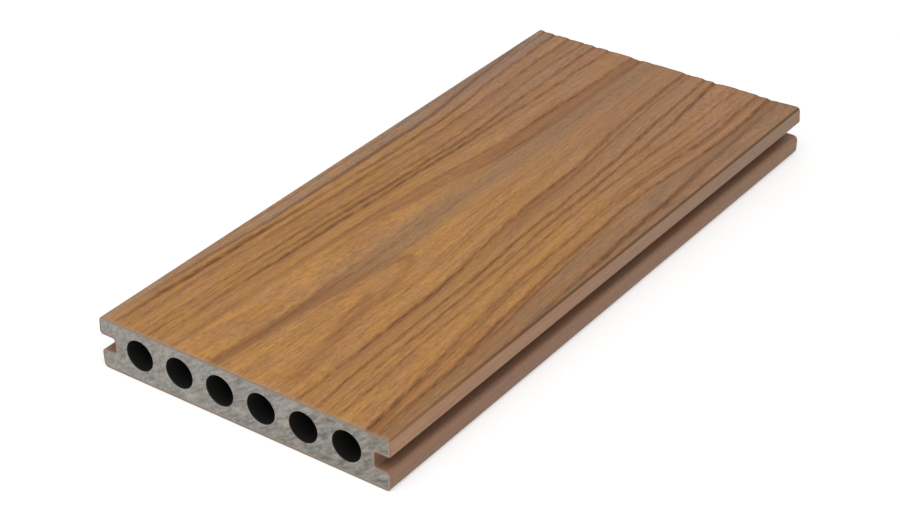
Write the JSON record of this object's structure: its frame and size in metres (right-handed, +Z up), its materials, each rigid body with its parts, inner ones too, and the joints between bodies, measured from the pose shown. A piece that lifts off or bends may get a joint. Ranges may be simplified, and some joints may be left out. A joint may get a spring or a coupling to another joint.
{
  "type": "decking board",
  "caption": "Hollow composite decking board: grey core with round bores from end to end, brown wood-grain cap all round, and a clip groove along each edge.",
  "frame": {"origin": "middle of the underside, on the surface the board lies on", "axes": "+X across the width, +Y along the length, +Z up through the walked-on face"},
  "size_m": [0.1398, 0.3, 0.023],
  "materials": {
    "core_composite": "matte",
    "cap_skin": "matte"
  },
  "bodies": {
    "root": {"hollow_core": "core_composite", "wood_grain_cap": "cap_skin"}
  },
  "joints": []
}
